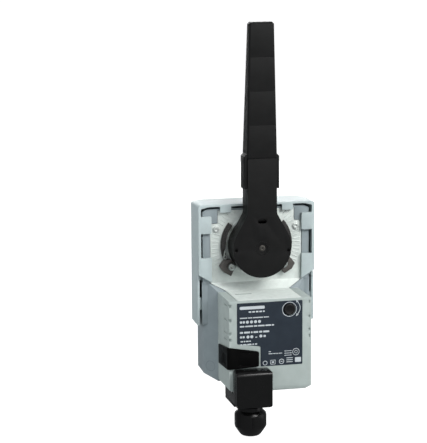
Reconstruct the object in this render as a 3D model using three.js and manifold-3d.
// Motorised quarter-turn actuator head with a manual lever, for ball valves.
// Millimetres. +Z up, +X right, the front faces -Y. The origin is on the output
// axis, in the rear mounting face: the valve stem enters along -Y.
import * as THREE from "three";
import { mergeVertices } from "three/addons/utils/BufferGeometryUtils.js";
import Module from "manifold-3d";

const wasm = await Module();
wasm.setup();

// ---------------------------------------------------------------- dimensions
// clip frame: the outer bracket that fixes the head to the valve
const FRAME_HALF_W = 45, FRAME_WALL_IN = 43.1, FRAME_FRONT = -25.5, FRAME_PLATE = -4.0;
const FRAME_BOTTOM = -60.7, FRAME_TOP_FRONT = 31.5, FRAME_TOP_REAR = 32.25;
const FRAME_SIDE_FRONT = -22.0, FRAME_SIDE_IN = 43.8, FRAME_SIDE_OUT = 45.35;
const TAB_BACK = -23.35;
const FLANGE_PCD = 50, FLANGE_HOLE_R = 3.2;
// rear shell
const SHELL_HALF_W = 40.65, SHELL_WAIST_HALF_W = 31.3, SHELL_SLANT_Y0 = -19.8, SHELL_FRONT = -28.2;
const SHELL_BACK_UPPER = -4.4, SHELL_TOP = 28.0, SHELL_BOTTOM = -103.3, SHELL_WALL = 2.3;
const LIP_FRONT = -23.0, LIP_BACK = -20.6, LIP_HALF_W = 41.3, LIP_IN = 35.7;
// die-cast gearbox plate
const PLATE_BACK = -20.2, PLATE_FRONT = -22.6, PLATE_HALF_W = 35.4, PLATE_TOP = 26.6;
const RAMP_TOP_Z = -28.4, RAMP_BOTTOM_Z = -34.1, LEDGE_HALF_W = 24.3, LEDGE_FRONT = -62.0, LEDGE_T = 2.0;
// front cover (gear and electronics housing)
const COVER_HALF_W = 31.3, COVER_BACK = -28.5, COVER_FRONT = -63.9, COVER_TOP = -34.3, COVER_BOTTOM = -103.3, COVER_WALL = 2.0;
// release button
const BUTTON_X = 14.5, BUTTON_Z = -42.35, BUTTON_R = 4.2, BUTTON_TRAVEL = 3.0;
// output
const SHAFT_R = 9.5, STEM_SQUARE = 11.0, BUSH_R = 12.0;
const HUB_R = 22.3, HUB_FRONT = -42.0, HUB_BACK = -24.4, NECK_BACK = -26.2, NECK_HALF_W = 11.15, NECK_TOP = 44.4, SEAM_Z = 67.4;
const LEVER_TIP_Z = 167.6;
const STOP_ANGLE = 45; // travel to each side of the middle, degrees
const LUG_HALF_ANGLE = 2.5, LUG_R = 25.5;
// gear train
const Z_OUT = 60, M_OUT = 1.0, Z_PA = 10, Z_WA = 40, M_A = 0.65, Z_PB = 10, Z_WB = 50, M_B = 0.5, Z_PM = 10;
const AXIS_A = [0, -(Z_OUT + Z_PA) * M_OUT / 2];
const AXIS_B = [BUTTON_X, BUTTON_Z];
const AXIS_M = [BUTTON_X - 9, BUTTON_Z - 12];
// terminal box and cable gland
const BOX_X0 = -28.5, BOX_X1 = -1.2, BOX_FRONT = -75.5, BOX_BACK = -38.8, BOX_TOP = -85.3, BOX_BOTTOM = -113.2;
const GLAND_X = -14, GLAND_Y = -58, GLAND_NUT_R = 12, GLAND_BOTTOM = -137.6, CABLE_HOLE_R = 3.7;

// ---------------------------------------------------------------- helpers
const V3 = (x, y, z) => new THREE.Vector3(x, y, z);
const AXES_Y = new THREE.Matrix4().makeBasis(V3(1, 0, 0), V3(0, 0, 1), V3(0, -1, 0));
const AXES_X = new THREE.Matrix4().makeBasis(V3(0, 1, 0), V3(0, 0, 1), V3(1, 0, 0));

// A closed geometry as a solid, facing out.
function solid(geometry) {
  let g = geometry.index ? geometry.toNonIndexed() : geometry.clone();
  for (const a of Object.keys(g.attributes)) if (a !== "position") g.deleteAttribute(a);
  g = mergeVertices(g, 1e-4);
  const p = g.attributes.position.array, t = new Uint32Array(g.index.array);
  let v = 0;
  for (let i = 0; i < t.length; i += 3) {
    const [a, b, c] = [3 * t[i], 3 * t[i + 1], 3 * t[i + 2]];
    v += p[a] * (p[b + 1] * p[c + 2] - p[b + 2] * p[c + 1]) - p[a + 1] * (p[b] * p[c + 2] - p[b + 2] * p[c]) + p[a + 2] * (p[b] * p[c + 1] - p[b + 1] * p[c]);
  }
  if (v < 0) for (let i = 0; i < t.length; i += 3) [t[i + 1], t[i + 2]] = [t[i + 2], t[i + 1]];
  return new wasm.Manifold(new wasm.Mesh({ numProp: 3, vertProperties: new Float32Array(p), triVerts: t }));
}
const join = (...s) => s.reduce((a, b) => a.add(b));
const cut = (s, ...tools) => tools.reduce((a, b) => a.subtract(b), s);

function extrude(pts, depth) {
  return new THREE.ExtrudeGeometry(new THREE.Shape(pts.map((p) => new THREE.Vector2(p[0], p[1]))), { depth, bevelEnabled: false });
}
// outline in (x, z), from y = rear forwards to y = front
const alongY = (pts, rear, front) => solid(extrude(pts, rear - front).applyMatrix4(AXES_Y).translate(0, rear, 0));
// outline in (y, z), from x0 to x1
const alongX = (pts, x0, x1) => solid(extrude(pts, x1 - x0).applyMatrix4(AXES_X).translate(x0, 0, 0));
// outline in (x, y), from z0 to z1
const alongZ = (pts, z0, z1) => solid(extrude(pts, z1 - z0).translate(0, 0, z0));
const block = (x0, x1, y0, y1, z0, z1) =>
  solid(new THREE.BoxGeometry(Math.abs(x1 - x0), Math.abs(y1 - y0), Math.abs(z1 - z0)).translate((x0 + x1) / 2, (y0 + y1) / 2, (z0 + z1) / 2));
const sides = (n) => (n <= 8 ? n : 2 * Math.round(0.36 * n)); // fineness of the round shapes
const rodY = (x, z, r, y0, y1, n = 24) => solid(new THREE.CylinderGeometry(r, r, Math.abs(y1 - y0), sides(n)).translate(x, (y0 + y1) / 2, z));
const rodZ = (x, y, r, z0, z1, n = 24) => solid(new THREE.CylinderGeometry(r, r, Math.abs(z1 - z0), sides(n)).rotateX(Math.PI / 2).translate(x, y, (z0 + z1) / 2));
// closed profile of [radius, position] turned about an axis parallel to Y or Z
const lathe = (profile, n) => new THREE.LatheGeometry([...profile, profile[0]].map((p) => new THREE.Vector2(p[0], p[1])), sides(n));
const turnY = (profile, x, z, n = 32) => solid(lathe(profile, n).translate(x, 0, z));
const turnZ = (profile, x, y, n = 32) => solid(lathe(profile, n).rotateX(Math.PI / 2).translate(x, y, 0));
const ringY = (x, z, r0, r1, y0, y1, n = 32) => cut(rodY(x, z, r1, y0, y1, n), rodY(x, z, r0, Math.min(y0, y1) - 1, Math.max(y0, y1) + 1, n));
const polar = (r, deg, cx = 0, cz = 0) => [cx + r * Math.cos((deg * Math.PI) / 180), cz + r * Math.sin((deg * Math.PI) / 180)];
function arcBand(r0, r1, a0, a1, n) {
  const pts = [];
  for (let i = 0; i <= n; i++) pts.push(polar(r1, a0 + ((a1 - a0) * i) / n));
  for (let i = n; i >= 0; i--) pts.push(polar(r0, a0 + ((a1 - a0) * i) / n));
  return pts;
}
const mirrorX = (pts) => pts.map(([x, y]) => [-x, y]).reverse();

// Tapered bar: outline a at z0 becomes outline b (same number of corners) at z1.
function taperZ(a, z0, b, z1) {
  const g = extrude(a, z1 - z0).translate(0, 0, z0), p = g.attributes.position;
  for (let i = 0; i < p.count; i++) {
    if (p.getZ(i) < (z0 + z1) / 2) continue;
    let best = 0, bd = 1e9;
    a.forEach((q, k) => { const d = (q[0] - p.getX(i)) ** 2 + (q[1] - p.getY(i)) ** 2; if (d < bd) { bd = d; best = k; } });
    p.setXY(i, b[best][0], b[best][1]);
  }
  return solid(g);
}
const chamferedRect = (x0, x1, y0, y1, c) => [[x0 + c, y0], [x1 - c, y0], [x1, y0 + c], [x1, y1 - c], [x1 - c, y1], [x0 + c, y1], [x0, y1 - c], [x0, y0 + c]];

// Involute gear outline about (0, 0), a tooth centred on angle `phase` (degrees).
const PRESSURE = (20 * Math.PI) / 180;
function toothPoints(z, m, shift, backlash, centre, flank) {
  const rp = (m * z) / 2, rb = rp * Math.cos(PRESSURE), ra = rp + m * (0.88 + shift), rf = rp - m * (1.2 - shift);
  const inv = (r) => { const a = Math.acos(Math.min(1, rb / r)); return Math.tan(a) - a; };
  const half = (r) => (Math.PI / 2 + 2 * shift * Math.tan(PRESSURE)) / z - backlash / (2 * rp) + (Math.tan(PRESSURE) - PRESSURE) - inv(Math.max(r, rb));
  const rs = [];
  const start = Math.max(rb, rf + 0.02 * m);
  if (start > rf + 0.05 * m) rs.push(rf);
  for (let i = 0; i <= flank; i++) rs.push(start + ((ra - start) * i) / flank);
  const up = rs.map((r) => [r, centre - half(r)]), down = [...rs].reverse().map((r) => [r, centre + half(r)]);
  return [...up, ...down].map(([r, t]) => [r * Math.cos(t), r * Math.sin(t)]);
}
function gearOutline(z, m, shift, backlash, phase, flank = 2) {
  const pts = [];
  for (let i = 0; i < z; i++) pts.push(...toothPoints(z, m, shift, backlash, (phase * Math.PI) / 180 + (2 * Math.PI * i) / z, flank));
  return pts;
}
const at = (pts, [cx, cz]) => pts.map(([x, z]) => [x + cx, z + cz]);
const direction = (from, to) => (Math.atan2(to[1] - from[1], to[0] - from[0]) * 180) / Math.PI;

// ---------------------------------------------------------------- materials
const material = (color, roughness, metalness = 0) => new THREE.MeshStandardMaterial({ color, roughness, metalness });
const FINISH = {
  frame: material(0xb4c1c1, 0.5), shell: material(0x8f999d, 0.5), cover: material(0xa9b2ae, 0.5),
  cast: material(0xc3c8c2, 0.45, 0.8), label: material(0x2e353d, 0.4), gloss: material(0x101010, 0.2),
  lever: material(0x222222, 0.55), stop: material(0x5b564f, 0.55), zinc: material(0xb8bdbd, 0.3, 1),
  steel: material(0x9a9c9c, 0.35, 1), nylon: material(0xe2dfd2, 0.5), acetal: material(0x3c3f42, 0.45),
  brass: material(0xb59a55, 0.35, 1), bronze: material(0x8f6f45, 0.4, 1), board: material(0x1f5a3a, 0.5),
  part: material(0x26282a, 0.4), rubber: material(0x1a1a1a, 0.8), button: material(0x151515, 0.4),
};
const root = new THREE.Group();
root.name = "actuator_head";
const group = { housing: new THREE.Group(), output: new THREE.Group(), release: new THREE.Group(), gear_a: new THREE.Group(), gear_b: new THREE.Group(), rotor: new THREE.Group(), gland: new THREE.Group() };
for (const g of Object.values(group)) root.add(g);
function piece(owner, name, s, finish) {
  const m = s.getMesh(), n = m.numProp, v = new Float32Array(m.numVert * 3);
  for (let i = 0; i < m.numVert; i++) v.set(m.vertProperties.subarray(i * n, i * n + 3), i * 3);
  const g = new THREE.BufferGeometry().setAttribute("position", new THREE.BufferAttribute(v, 3)).setIndex(new THREE.BufferAttribute(new Uint32Array(m.triVerts), 1));
  g.computeVertexNormals();
  const mesh = new THREE.Mesh(g, FINISH[finish]);
  mesh.name = name;
  group[owner].add(mesh);
}

// ---------------------------------------------------------------- clip frame
const frameOutline = [[44.7, FRAME_BOTTOM], [FRAME_HALF_W, FRAME_BOTTOM + 0.3], [FRAME_HALF_W, 30.1], [44.4, 30.9], [41.5, 31.6], [38, 32.1], [34, FRAME_TOP_REAR], [0, FRAME_TOP_REAR]];
const frameInner = [[FRAME_WALL_IN, FRAME_BOTTOM - 2], [FRAME_WALL_IN, 27.9], [42.4, 28.9], [39.7, 29.3], [37.6, 30.0], [0, 30.0]];
const both = (half) => [...half, ...mirrorX(half).filter(([x]) => x !== 0)];
const tab2 = [[35.0, -27.4], [43.4, -22.3], [43.4, -8.6], [35.0, -8.6]];
const holeX = (FLANGE_PCD / 2) * Math.SQRT1_2;
let frame = cut(
  alongY(both(frameOutline), 0, FRAME_FRONT),
  alongY(both(frameInner), FRAME_PLATE, FRAME_FRONT - 1),
  alongX([[FRAME_FRONT - 0.5, FRAME_TOP_FRONT - 0.015], [0.5, FRAME_TOP_REAR + 0.015], [0.5, 34], [FRAME_FRONT - 0.5, 34]], -46, 46),
);
// the lower side walls are thinner, lean outwards a little and are set back below the slanted edge of the second tab
for (const s of [-1, 1]) {
  const m = (pts) => (s > 0 ? pts : mirrorX(pts));
  frame = cut(frame, alongY(m([[34.0, -62], [46, -62], [46, -20.7], [34.0, -28.0]]), FRAME_SIDE_FRONT, FRAME_FRONT - 1),
    alongY(m([[42, -62], [FRAME_SIDE_IN, -62], [FRAME_SIDE_IN, -22.4], [42, -23.5]]), -14.5, FRAME_FRONT - 1));
  frame = join(frame, alongZ(m([[FRAME_SIDE_OUT - 0.9, FRAME_SIDE_FRONT], [FRAME_SIDE_OUT, FRAME_SIDE_FRONT], [FRAME_HALF_W, -6], [44.4, -6]]), FRAME_BOTTOM, -24.0));
}
for (const s of [-1, 1]) {
  const m = (pts) => (s > 0 ? pts : mirrorX(pts));
  frame = join(
    frame,
    alongY(m([[35.0, 9.9], [43.4, 9.9], [43.4, 22.8], [35.0, 22.8]]), TAB_BACK, FRAME_FRONT),
    alongY(m(tab2), TAB_BACK, FRAME_FRONT),
    alongY(m([[19.7, 25.5], [28.3, 25.5], [28.3, 30.3], [19.7, 30.3]]), TAB_BACK, FRAME_FRONT),
    alongY(m([[41.8, -26.3], [44.0, -26.3], [44.0, -21.2], [41.8, -21.2]]), FRAME_PLATE + 0.5, -20.2),
    alongY(m([[41.8, -49], [44.0, -49], [44.0, -39.8], [41.8, -39.8]]), FRAME_PLATE + 0.5, -20.2),
  );
}
frame = cut(frame, rodY(0, 0, 12.5, 1, -6, 40));
for (const [x, z] of [[holeX, holeX], [-holeX, holeX], [-holeX, -holeX], [holeX, -holeX]])
  frame = cut(frame, rodY(x, z, FLANGE_HOLE_R, 1, -6, 20), rodY(x, z, 5.6, -2.2, -6, 20));
piece("housing", "clip_frame", frame, "frame");

// ---------------------------------------------------------------- rear shell
const plateOpening = both([[24.6, -38], [24.6, -34.4], [LIP_IN, RAMP_TOP_Z - 0.1], [LIP_IN, 16.9], [29.9, 17.3], [29.9, 26.9], [0, 26.9]]);
const shellBackPts = (w0, w1, y0, y1, yb) => [[-w0, yb], [-w0, y0], [-w1, y1], [w1, y1], [w0, y0], [w0, yb]];
let shell = join(
  alongY(both([[SHELL_HALF_W, -27.4], [SHELL_HALF_W, 24.5], [36.9, SHELL_TOP], [0, SHELL_TOP]]), SHELL_BACK_UPPER, LIP_FRONT),
  alongY(both([[LIP_HALF_W, -28.6], [LIP_HALF_W, 25.9], [40.2, 26.9], [37.3, SHELL_TOP], [0, SHELL_TOP]]), LIP_BACK, LIP_FRONT),
  alongZ(shellBackPts(SHELL_HALF_W, SHELL_WAIST_HALF_W, SHELL_SLANT_Y0, SHELL_FRONT, 0), SHELL_BOTTOM, RAMP_TOP_Z + 1),
  alongZ([[-41.9, -20.6], [-41.9, -22.4], [41.9, -22.4], [41.9, -20.6]].reverse(), -60, RAMP_TOP_Z + 1), // lower lip
);
shell = cut(
  shell,
  alongX([[LIP_FRONT, RAMP_TOP_Z + 0.2], [SHELL_FRONT - 0.02, -34.4], [SHELL_FRONT - 0.02, -20], [LIP_FRONT, -20]], -42, 42), // ramp
  block(-46, 46, 1, SHELL_BACK_UPPER, -61.4, 29), // pocket for the frame's back plate
  alongX([[1, -104.5], [1, -97.2], [SHELL_SLANT_Y0, -98.35], [SHELL_FRONT - 0.1, -103.32], [SHELL_FRONT - 0.1, -104.5]], -42, 42), // sloping underside
  // hollow
  block(-37.6, 37.6, -18.4, SHELL_BACK_UPPER - 2.2, -94.5, 25.7),
  block(-37.6, 37.6, -10, -2.2, -94.5, -63.4),
  alongZ(shellBackPts(38.3, 29.0, -19.2, SHELL_FRONT - 0.3, -10), -94.5, -36.8),
  alongY(plateOpening, -17.9, SHELL_FRONT - 1),
  rodY(0, 0, BUSH_R + 0.1, -3, -8, 40),
);
const HOUSING_SCREWS = [[-26.5, -66], [26.5, -66], [-26.5, -90], [26.5, -90]];
for (const [x, z] of HOUSING_SCREWS) shell = cut(join(shell, rodY(x, z, 4, -1.5, SHELL_FRONT + 0.1, 20)), rodY(x, z, 3.0, 1, -9.8, 20), rodY(x, z, 1.8, 1, -30, 16));
for (const s of [-1, 1]) shell = cut(join(shell, rodY(s * 31, 12.5, 3, -6, PLATE_BACK + 0.1, 16)), rodY(s * 31, 12.5, 1.5, -10, -22, 16));
shell = join(shell, rodY(-5, -64.5, 2.4, -2, -18.6, 16), rodY(16, -64.5, 2.4, -2, -18.6, 16));
shell = cut(shell, rodY(...AXIS_A, 1.6, -5, -8, 16), rodY(...AXIS_B, 1.1, -5, -8, 16));
piece("housing", "rear_shell", shell, "shell");
HOUSING_SCREWS.forEach(([x, z], i) =>
  piece("housing", "housing_screw_" + (i + 1), cut(join(rodY(x, z, 2.7, -7.2, -9.7, 20), rodY(x, z, 1.45, -9.6, -42, 12)), rodY(x, z, 1.3, -6, -8.6, 6)), "zinc"));

// ---------------------------------------------------------------- die-cast gearbox plate
let plate = join(
  alongY(both([[LEDGE_HALF_W, RAMP_BOTTOM_Z], [PLATE_HALF_W, RAMP_TOP_Z], [PLATE_HALF_W, 16.6], [29.6, 17.0], [29.6, PLATE_TOP], [0, PLATE_TOP]]), PLATE_BACK, PLATE_FRONT),
  alongX([[LEDGE_FRONT, RAMP_BOTTOM_Z], [LEDGE_FRONT, RAMP_BOTTOM_Z - LEDGE_T], [-26.6, RAMP_BOTTOM_Z - LEDGE_T], [PLATE_BACK - 0.3, -29.4], [PLATE_FRONT, RAMP_TOP_Z - 0.2], [-28.4, RAMP_BOTTOM_Z]], -LEDGE_HALF_W, LEDGE_HALF_W),
);
// the ramp widens towards the top
plate = join(plate, alongX([[PLATE_FRONT, RAMP_TOP_Z], [-28.4, RAMP_BOTTOM_Z], [-26.9, RAMP_BOTTOM_Z - 1.2], [PLATE_FRONT + 1.6, RAMP_TOP_Z - 0.2]], -PLATE_HALF_W, PLATE_HALF_W)
  .intersect(alongY(both([[LEDGE_HALF_W, -36], [LEDGE_HALF_W, RAMP_BOTTOM_Z], [PLATE_HALF_W, RAMP_TOP_Z], [0, RAMP_TOP_Z]]), -15, -30)));
plate = cut(plate, rodY(0, 0, BUSH_R + 0.1, -15, -25, 40), alongX([[-23.5, -40], [-19, -40], [-19, -34.2], [-23.5, -34.2]], -40, 40));
for (const s of [-1, 1]) {
  plate = join(plate, rodY(s * 31, 12.5, 2.9, PLATE_BACK - 0.4, PLATE_FRONT - 0.3, 20));
  plate = cut(plate, rodY(s * 31, 12.5, 1.6, -18, -25, 16), rodY(s * 20.7, -15.6, 1.5, -18, -25, 16));
}
piece("housing", "gearbox_plate", plate, "cast");
for (const [s, side] of [[-1, "left"], [1, "right"]])
  piece("housing", "plate_screw_" + side, cut(join(rodY(s * 31, 12.5, 2.3, -22.95, -23.75, 20), rodY(s * 31, 12.5, 1.4, -12.5, -23.0, 12)), rodY(s * 31, 12.5, 1.0, -23.3, -24, 6)), "zinc");

// ---------------------------------------------------------------- front cover
const coverOutline = both([[26.8, COVER_BOTTOM], [COVER_HALF_W, -101.2], [COVER_HALF_W, COVER_TOP], [0, COVER_TOP]]);
let cover = cut(
  alongY(coverOutline, COVER_BACK, COVER_FRONT),
  block(-29.3, 29.3, COVER_BACK + 1, COVER_FRONT + COVER_WALL, -100.4, COVER_TOP - 2),
  block(-24.6, 24.6, COVER_BACK + 1, LEDGE_FRONT - 0.3, -37, -33),
  rodY(BUTTON_X, BUTTON_Z, BUTTON_R + 0.45, -60, -66, 32),
  block(-21, -9, -66, -60, -98.5, -93.5), // wire passage to the terminal box
);
for (const [x, z] of HOUSING_SCREWS) cover = cut(join(cover, rodY(x, z, 3.2, COVER_BACK, -51.9, 20)), rodY(x, z, 1.6, COVER_BACK + 1, -46, 16));
piece("housing", "front_cover", cover, "cover");
piece("housing", "label_plate", cut(
  alongY([[-24.7, -35.9], [-24.7, -66.6], [-7.6, -69.0], [-7.6, -84.4], [24.5, -84.4], [24.5, -35.9]].reverse(), COVER_FRONT - 0.02, COVER_FRONT - 0.32),
  rodY(BUTTON_X, BUTTON_Z, BUTTON_R + 0.45, -60, -66, 32)), "label");

// ---------------------------------------------------------------- wiring cover (corner cap)
piece("housing", "wiring_cover", join(
  alongY([[-32.9, -68.5], [-9.2, -72.7], [-9.2, -83.9], [-32.9, -85.2]].reverse(), COVER_FRONT - 0.3, -65.8),
  alongX([[-65.8, -68.5], [-36, -72.2], [-36, -86.7], [-65.8, -85.2]].reverse(), -32.9, -31.6)), "gloss");

// ---------------------------------------------------------------- terminal box
const hoodOutline = [[-64.2, BOX_TOP], [-72.2, BOX_TOP], [-74.5, -86.4], [BOX_FRONT, -88.7], [BOX_FRONT, BOX_BOTTOM], [BOX_BACK, BOX_BOTTOM], [BOX_BACK, -103.6], [-64.2, -103.6]];
const hoodHollow = [[-63.9, -87.1], [-72, -87.1], [-73.7, -89.1], [-73.7, -111.4], [-65.9, -111.4], [-65.9, -115], [-40.6, -115], [-40.6, -105.4], [-63.9, -105.4]];
piece("housing", "terminal_hood", cut(
  alongX(hoodOutline, BOX_X0, BOX_X1),
  alongX(hoodHollow, BOX_X0 + 1.8, BOX_X1 - 1.8),
  block(BOX_X0 - 1, BOX_X1 + 1, -66, -38, -115, -111.0)), "gloss");
piece("housing", "terminal_floor", cut(
  block(BOX_X0, BOX_X1, -65.8, BOX_BACK, BOX_BOTTOM, -111.1), rodZ(GLAND_X, GLAND_Y, 6.9, -116, -105, 32), rodZ(-24.5, -42.6, 1.6, -116, -105, 12)), "gloss");
piece("housing", "floor_screw", join(rodZ(-24.5, -42.6, 1.4, BOX_BOTTOM - 0.1, -107.2, 12), rodZ(-24.5, -42.6, 2.6, BOX_BOTTOM - 1.4, BOX_BOTTOM - 0.05, 16)), "zinc");
let strip = block(-23, -7, -71.5, -64.6, -101.5, -91);
for (const x of [-20.3, -15, -9.7]) strip = cut(strip, rodY(x, -94.2, 1.9, -73, -66.5, 16), block(x - 1.8, x + 1.8, -69.8, -66.4, -103, -98));
piece("housing", "terminal_block", strip, "acetal");
[-20.3, -15, -9.7].forEach((x, i) => piece("housing", "terminal_screw_" + (i + 1), cut(rodY(x, -94.2, 1.7, -70.9, -66.8, 16), block(x - 2, x + 2, -72, -70.2, -94.5, -93.9)), "zinc"));

// ---------------------------------------------------------------- cable gland
piece("housing", "gland_body", turnZ([[4.2, -107.2], [6.7, -107.2], [6.7, -113.3], [9.4, -113.3], [9.4, -115.3], [8.0, -115.4], [8.0, -125.0], [4.2, -125.0]], GLAND_X, GLAND_Y, 24), "gloss");
piece("housing", "gland_locknut", cut(rodZ(GLAND_X, GLAND_Y, 9.4, -110.95, -108.4, 6), rodZ(GLAND_X, GLAND_Y, 6.85, -113, -105, 24)), "part");
piece("housing", "gland_seal", turnZ([[CABLE_HOLE_R - 0.1, -125.2], [6.9, -125.2], [6.9, -133.2], [CABLE_HOLE_R - 0.1, -133.2]], GLAND_X, GLAND_Y, 24), "rubber");
piece("gland", "gland_nut", turnZ([[8.25, -115.7], [9.2, -115.7], [9.4, -118.0], [11.2, -120.0], [GLAND_NUT_R, -121.6], [GLAND_NUT_R, -130.2], [10.6, -132.5], [8.6, -135.3], [7.6, -136.5], [6.4, -137.3], [5.6, GLAND_BOTTOM], [CABLE_HOLE_R, GLAND_BOTTOM], [CABLE_HOLE_R, -133.5], [7.1, -133.5], [7.1, -125.5], [8.25, -125.5]], GLAND_X, GLAND_Y, 24), "gloss");

// ---------------------------------------------------------------- end stops, spring clip
const stopBlock = [[-29.9, -15.2], [-26.4, -10.6], [-22.3, -10.2], ...[206, 212, 218, 222].map((a) => polar(23.0, a)), polar(25.9, 222.4), [-21.7, -22.8], [-27.6, -19.3]];
for (const [s, side] of [[-1, "left"], [1, "right"]]) {
  const m = (pts) => (s < 0 ? pts : mirrorX(pts));
  let stop = join(
    alongY(m(arcBand(25.3, 28.6, 141, 207, 12)), PLATE_FRONT - 0.2, -24.6),
    alongY(m(arcBand(25.3, 27.8, 141, 185, 9)), -24.5, -27.0),
    alongY(m(stopBlock), PLATE_FRONT - 0.2, -27.9),
  );
  stop = cut(stop, rodY(s * 20.7, -15.6, 1.6, -20, -32, 16));
  piece("housing", "end_stop_" + side, stop, "stop");
  piece("housing", "end_stop_screw_" + side, cut(join(rodY(s * 20.7, -15.6, 2.85, -28.0, -30.4, 20), rodY(s * 20.7, -15.6, 1.35, -20.8, -28.1, 12)), rodY(s * 20.7, -15.6, 1.3, -29.2, -32, 6)), "zinc");
}
// wavy spring strip beside the hub, ending in an eye
function ribbon(path, w) {
  const L = [], R = [];
  path.forEach((p, i) => {
    const a = path[Math.max(0, i - 1)], b = path[Math.min(path.length - 1, i + 1)], l = Math.hypot(b[0] - a[0], b[1] - a[1]), nx = (-(b[1] - a[1]) / l) * w / 2, ny = ((b[0] - a[0]) / l) * w / 2;
    L.push([p[0] + nx, p[1] + ny]); R.push([p[0] - nx, p[1] - ny]);
  });
  return [...L, ...R.reverse()];
}
piece("housing", "spring_clip", join(
  alongY(ribbon([polar(24.3, 139), polar(23.9, 148), polar(24.5, 157), polar(24.1, 166), polar(24.0, 175), polar(24.4, 184), polar(25.8, 190.5), polar(26.6, 195)], 0.8), -24.9, -27.0),
  cut(rodY(-24.9, -8.25, 1.7, -25.4, -27.4, 16), rodY(-24.9, -8.25, 0.8, -25, -30, 12))), "zinc");

// ---------------------------------------------------------------- bushes, gear bridge, axles, motor, electronics
piece("housing", "bush_rear", ringY(0, 0, 9.75, BUSH_R, -4.6, -8.7, 40), "bronze");
piece("housing", "bush_front", ringY(0, 0, 9.75, BUSH_R, -19.8, -23.4, 40), "bronze");
piece("housing", "gear_bridge", cut(
  alongY([[-7, -26.8], [7, -26.8], [23, -36], [23, -48], [19.5, -67.5], [-8.5, -67.5], [-9.5, -40]].reverse(), -18.8, -19.8),
  rodY(...AXIS_A, 1.6, -17, -21, 16), rodY(...AXIS_B, 1.1, -17, -21, 16), rodY(...AXIS_M, 3, -17, -21, 20)), "steel");
piece("housing", "axle_a", rodY(...AXIS_A, 1.5, -5.1, -19.9, 16), "steel");
piece("housing", "axle_b", rodY(...AXIS_B, 0.95, -5.1, -19.9, 12), "steel");
piece("housing", "motor", cut(join(rodY(...AXIS_M, 11, -20.0, -46, 32), rodY(...AXIS_M, 4, -45, -48.5, 20)), rodY(...AXIS_M, 1.2, -18, -26, 12)), "steel");
piece("housing", "circuit_board", cut(block(-28.4, 28.4, -53.6, -52.0, -98, -38.5), rodY(...AXIS_B, 3, -50, -56, 20)), "board");
piece("housing", "capacitor", rodY(-15, -52, 5, -51.9, -36, 20), "part");
piece("housing", "power_module", block(-22, -6, -51.9, -38, -85, -72), "part");
// compression spring of the release button
class Helix extends THREE.Curve {
  getPoint(t) { const a = t * 5 * 2 * Math.PI; return V3(BUTTON_X + 2.7 * Math.cos(a), -20.3 - t * 11.2, BUTTON_Z + 2.7 * Math.sin(a)); }
}
const wire = new THREE.Shape([0, 1, 2, 3, 4].map((i) => new THREE.Vector2(0.33 * Math.cos((i * 2 * Math.PI) / 5), 0.33 * Math.sin((i * 2 * Math.PI) / 5))));
piece("housing", "button_spring", solid(new THREE.ExtrudeGeometry(wire, { steps: 45, bevelEnabled: false, extrudePath: new Helix() })), "zinc");

// ---------------------------------------------------------------- release button
piece("release", "release_button", turnY([[0, -65.2], [3.7, -65.2], [BUTTON_R, -64.8], [BUTTON_R, -60.4], [1.9, -60.4], [1.9, -33.6], [3.3, -33.6], [3.3, -32.1], [1.9, -32.1], [1.9, -23.4], [0, -23.4]], BUTTON_X, BUTTON_Z, 24), "button");

// ---------------------------------------------------------------- output shaft, gear and lever
piece("output", "output_shaft", cut(
  rodY(0, 0, SHAFT_R, -0.6, -36, 40),
  block(-STEM_SQUARE / 2, STEM_SQUARE / 2, -21, 1, -STEM_SQUARE / 2, STEM_SQUARE / 2), rodY(0, 0, 2.0, -30, -37, 16)), "steel");
const sectorTeeth = [];
const rootR = Z_OUT / 2 - (1.2 + 0.45) * M_OUT;
for (let i = -9; i <= 9; i++) sectorTeeth.push(...toothPoints(Z_OUT, M_OUT, -0.45, 0.15, ((-90 + i * 6) * Math.PI) / 180, 2));
const sector = [...sectorTeeth, polar(rootR, -90 + 57), polar(12, -90 + 62), polar(12, -90 - 62), polar(rootR, -90 - 57)];
piece("output", "output_gear", cut(join(alongY(sector, -9.2, -14.6), rodY(0, 0, 14, -9.0, -18.0, 40)), rodY(0, 0, 9.6, -5, -20, 40),
  alongY(arcBand(17, 24, -90 - 42, -90 - 12, 6), -8, -16), alongY(arcBand(17, 24, -90 + 12, -90 + 42, 6), -8, -16)), "steel");
const stadium = (cx, cz, hw, r) => { const p = []; for (let i = 0; i <= 6; i++) p.push([cx + hw - r + r * Math.sin((i * Math.PI) / 6), cz - r * Math.cos((i * Math.PI) / 6)]); for (let i = 0; i <= 6; i++) p.push([cx - hw + r - r * Math.sin((i * Math.PI) / 6), cz + r * Math.cos((i * Math.PI) / 6)]); return p; };
let hub = join(
  rodY(0, 0, HUB_R, HUB_BACK, HUB_FRONT, 56),
  alongY([[-21.2, 7], [21.2, 7], [20.6, 9.4], [11.5, 25.6], [NECK_HALF_W, 27.6], [-NECK_HALF_W, 27.6], [-11.5, 25.6], [-20.6, 9.4]], -27.4, HUB_FRONT),
  alongY([[-NECK_HALF_W, 27.5], [NECK_HALF_W, 27.5], [NECK_HALF_W, 30.7], [-NECK_HALF_W, 30.7]], -27.4, HUB_FRONT),
  alongY([[-NECK_HALF_W, 30.6], [NECK_HALF_W, 30.6], [NECK_HALF_W, NECK_TOP], [-NECK_HALF_W, NECK_TOP]], NECK_BACK, HUB_FRONT),
);
hub = cut(hub, rodY(0, 0, 20, -20, -39, 48));
hub = join(hub, rodY(0, 0, 13, -27, -39.5, 40), block(-NECK_HALF_W, NECK_HALF_W, HUB_FRONT, -31.4, 43, SEAM_Z),
  alongY(arcBand(21.2, LUG_R, -90 - LUG_HALF_ANGLE, -90 + LUG_HALF_ANGLE, 2), HUB_BACK, -27.4));
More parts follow.
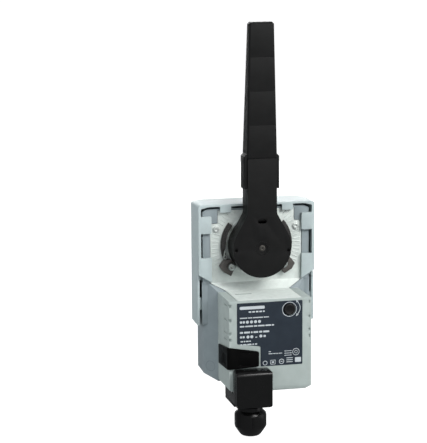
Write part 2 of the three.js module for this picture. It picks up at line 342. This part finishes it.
hub = cut(hub, rodY(0, 0, 9.6, -20, -36.1, 40), rodY(0, 0, 2.0, -35, -43, 16), rodY(0, 0, 4.4, -40.8, -43, 24),
  alongY(stadium(0, 20.3, 3.35, 1.7), -39.6, -43), rodY(-20.3, -1, 1.05, -39.6, -43, 12), rodY(20.3, -1, 1.05, -39.6, -43, 12),
  rodY(0, 55, 1.6, -25, -36.8, 12));
piece("output", "lever_hub", hub, "lever");
piece("output", "lever_screw", cut(join(rodY(0, 0, 2.4, -40.85, -41.9, 20), rodY(0, 0, 1.85, -31, -40.9, 12)), rodY(0, 0, 0.9, -41.1, -43, 6)), "part");
let handle = join(
  taperZ(chamferedRect(-13.35, 13.35, -41, -28.8, 0.8), 44.7, chamferedRect(-13.35, 13.35, -41, -28.6, 0.8), 68.9),
  taperZ(chamferedRect(-13.35, 13.35, -41, -28.6, 0.8), 68.8, chamferedRect(-11.3, 11.3, -41, -28.6, 0.8), 70.9),
  taperZ(chamferedRect(-11.4, 11.4, -42.1, -26.2, 1.2), SEAM_Z + 0.3, chamferedRect(-9.3, 9.3, -42.1, -33.4, 1.2), LEVER_TIP_Z - 1.2),
  taperZ(chamferedRect(-9.3, 9.3, -42.1, -33.4, 1.2), LEVER_TIP_Z - 1.3, chamferedRect(-8.1, 8.1, -41, -34.2, 1.2), LEVER_TIP_Z),
);
handle = cut(handle, block(-NECK_HALF_W - 0.15, NECK_HALF_W + 0.15, -43, -31.2, 40, SEAM_Z + 0.3), rodY(0, 55, 1.6, -25, -32, 12));
for (const [z0, z1] of [[73, 91], [93, 116], [118, 141], [143, 164]]) {
  const w = (z) => 8.5 - (2.0 * (z - 71)) / 96;
  handle = cut(handle, taperZ([[-w(z0), -39.6], [w(z0), -39.6], [w(z0), -20], [-w(z0), -20]], z0, [[-w(z1), -39.6], [w(z1), -39.6], [w(z1), -20], [-w(z1), -20]], z1));
}
piece("output", "lever_handle", handle, "lever");
piece("output", "handle_pin", join(rodY(0, 55, 1.5, -28.9, -36.6, 12)), "zinc");

// ---------------------------------------------------------------- gear train
const toA = direction([0, 0], AXIS_A), toB = direction(AXIS_A, AXIS_B), toM = direction(AXIS_B, AXIS_M);
piece("gear_a", "gear_a", cut(join(
  alongY(at(gearOutline(Z_PA, M_OUT, 0.45, 0.15, toA + 180 + 180 / Z_PA, 3), AXIS_A), -9.0, -15.5),
  alongY(at(gearOutline(Z_WA, M_A, -0.45, 0.12, toB, 1), AXIS_A), -15.4, -18.2)), rodY(...AXIS_A, 1.6, -5, -22, 16)), "nylon");
piece("gear_b", "gear_b", cut(join(
  alongY(at(gearOutline(Z_PB, M_A, 0.45, 0.12, toB + 180 + 180 / Z_PB, 2), AXIS_B), -8.5, -18.3),
  alongY(at(gearOutline(Z_WB, M_B, -0.45, 0.1, toM, 1), AXIS_B), -7.0, -8.6)), rodY(...AXIS_B, 1.12, -5, -22, 12)), "nylon");
piece("rotor", "motor_pinion", join(
  alongY(at(gearOutline(Z_PM, M_B, 0.45, 0.1, toM + 180 + 180 / Z_PM, 2), AXIS_M), -6.9, -8.8), rodY(...AXIS_M, 1.0, -8.7, -25.5, 12)), "brass");

export default root;
